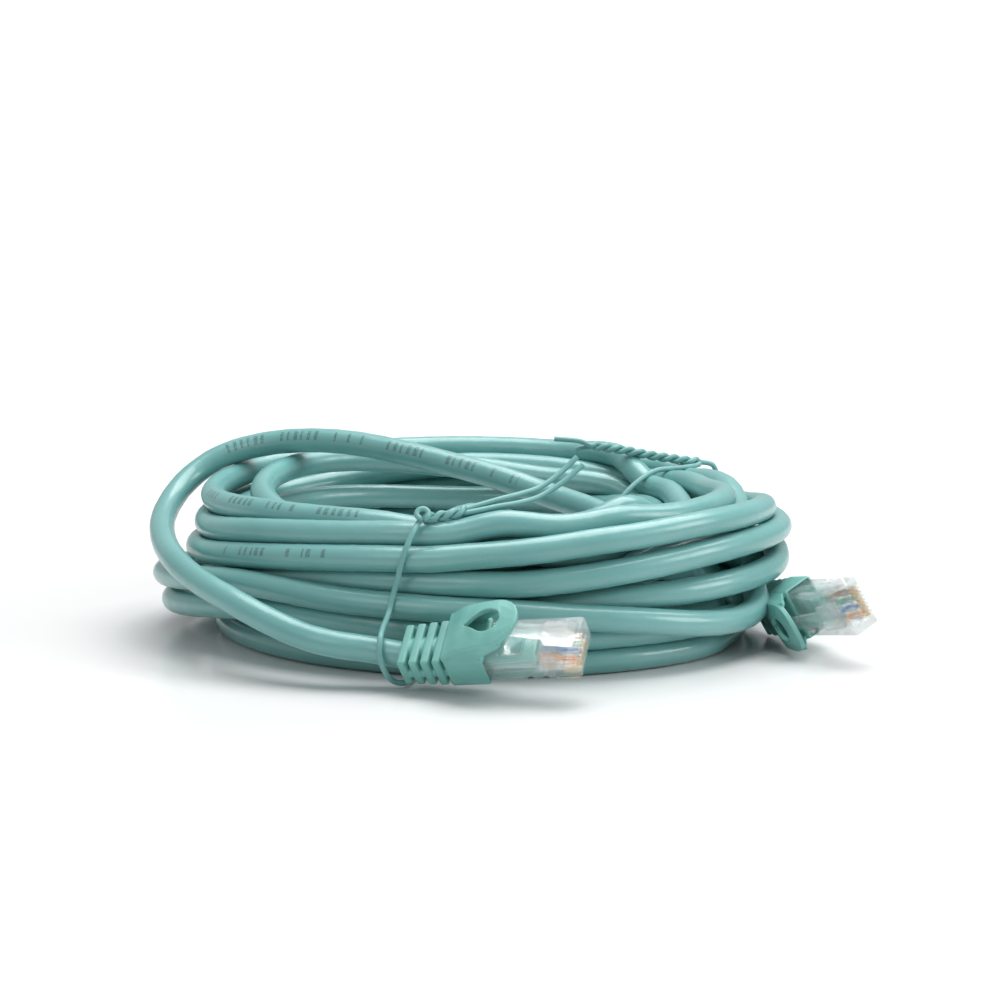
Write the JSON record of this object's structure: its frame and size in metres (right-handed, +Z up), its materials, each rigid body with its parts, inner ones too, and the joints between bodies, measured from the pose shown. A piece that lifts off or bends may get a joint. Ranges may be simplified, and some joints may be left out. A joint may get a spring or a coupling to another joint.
{
  "type": "ethernet patch cable",
  "caption": "Round network patch cable wound in an oval coil held by wire ties, with a clear modular plug and a ribbed snagless boot at each end.",
  "frame": {"origin": "on the surface it lies on, under the middle of the box round both plugs, both boots and both ties", "axes": "+Z up from the surface; +X to the right of the coil, towards the far plug; -Y towards the front, where the near plug lies"},
  "size_m": [0.1711, 0.1463, 0.0477],
  "materials": {
    "cable_pvc": "satin",
    "boot_pvc": "satin",
    "tie_pvc": "satin",
    "clear_plastic": "clear, glossy",
    "load_bar_plastic": "clear, glossy",
    "gold_plate": "polished, gold plated",
    "wire_1": "satin",
    "wire_2": "satin",
    "wire_3": "satin",
    "wire_4": "satin",
    "wire_5": "satin",
    "wire_6": "satin",
    "wire_7": "satin",
    "wire_8": "satin"
  },
  "bodies": {
    "cable": {"plug_a_housing": "clear_plastic", "plug_a_jacket_clamp": "clear_plastic", "plug_a_load_bar": "load_bar_plastic", "plug_a_contact_1": "gold_plate", "plug_a_contact_2": "gold_plate", "plug_a_contact_3": "gold_plate", "plug_a_contact_4": "gold_plate", "plug_a_contact_5": "gold_plate", "plug_a_contact_6": "gold_plate", "plug_a_contact_7": "gold_plate", "plug_a_contact_8": "gold_plate", "plug_a_conductor_1": "wire_1", "plug_a_conductor_2": "wire_2", "plug_a_conductor_3": "wire_3", "plug_a_conductor_4": "wire_4", "plug_a_conductor_5": "wire_5", "plug_a_conductor_6": "wire_6", "plug_a_conductor_7": "wire_7", "plug_a_conductor_8": "wire_8", "cable_end_a": "cable_pvc", "boot_a": "boot_pvc", "plug_b_housing": "clear_plastic", "plug_b_jacket_clamp": "clear_plastic", "plug_b_load_bar": "load_bar_plastic", "plug_b_contact_1": "gold_plate", "plug_b_contact_2": "gold_plate", "plug_b_contact_3": "gold_plate", "plug_b_contact_4": "gold_plate", "plug_b_contact_5": "gold_plate", "plug_b_contact_6": "gold_plate", "plug_b_contact_7": "gold_plate", "plug_b_contact_8": "gold_plate", "plug_b_conductor_1": "wire_1", "plug_b_conductor_2": "wire_2", "plug_b_conductor_3": "wire_3", "plug_b_conductor_4": "wire_4", "plug_b_conductor_5": "wire_5", "plug_b_conductor_6": "wire_6", "plug_b_conductor_7": "wire_7", "plug_b_conductor_8": "wire_8", "cable_end_b": "cable_pvc", "boot_b": "boot_pvc", "cable_coil": "cable_pvc", "cable_lead_a": "cable_pvc", "cable_lead_b": "cable_pvc", "twist_tie_front": "tie_pvc", "twist_tie_back": "tie_pvc"},
    "latch_a": {"plug_a_latch": "clear_plastic"},
    "latch_b": {"plug_b_latch": "clear_plastic"},
    "hood_a": {"boot_a_hood": "boot_pvc"},
    "hood_b": {"boot_b_hood": "boot_pvc"}
  },
  "joints": [
    {"name": "latch_a_press", "type": "hinge", "parent": "cable", "child": "latch_a", "pos_m": [-0.01413, -0.05665, 0.01559], "axis": [-0.1841, -0.7726, -0.6076], "range_deg": [0, 7], "stiffness_Nm_per_rad": 0.1},
    {"name": "hood_a_press", "type": "hinge", "parent": "cable", "child": "hood_a", "pos_m": [-0.04099, -0.048, 0.01273], "axis": [0.1841, 0.7726, 0.6076], "range_deg": [0, 8.4], "stiffness_Nm_per_rad": 0.1},
    {"name": "latch_b_press", "type": "hinge", "parent": "cable", "child": "latch_b", "pos_m": [0.04761, -0.02042, 0.01227], "axis": [0.4861, 0.0306, -0.8734], "range_deg": [0, 7], "stiffness_Nm_per_rad": 0.1},
    {"name": "hood_b_press", "type": "hinge", "parent": "cable", "child": "hood_b", "pos_m": [0.03602, 0.00487, 0.00671], "axis": [-0.4861, -0.0306, 0.8734], "range_deg": [0, 8.4], "stiffness_Nm_per_rad": 0.1}
  ],
  "couplings": [
    {"joint": "hood_a_press", "follows": "latch_a_press", "ratio": 1.2},
    {"joint": "hood_b_press", "follows": "latch_b_press", "ratio": 1.2}
  ]
}
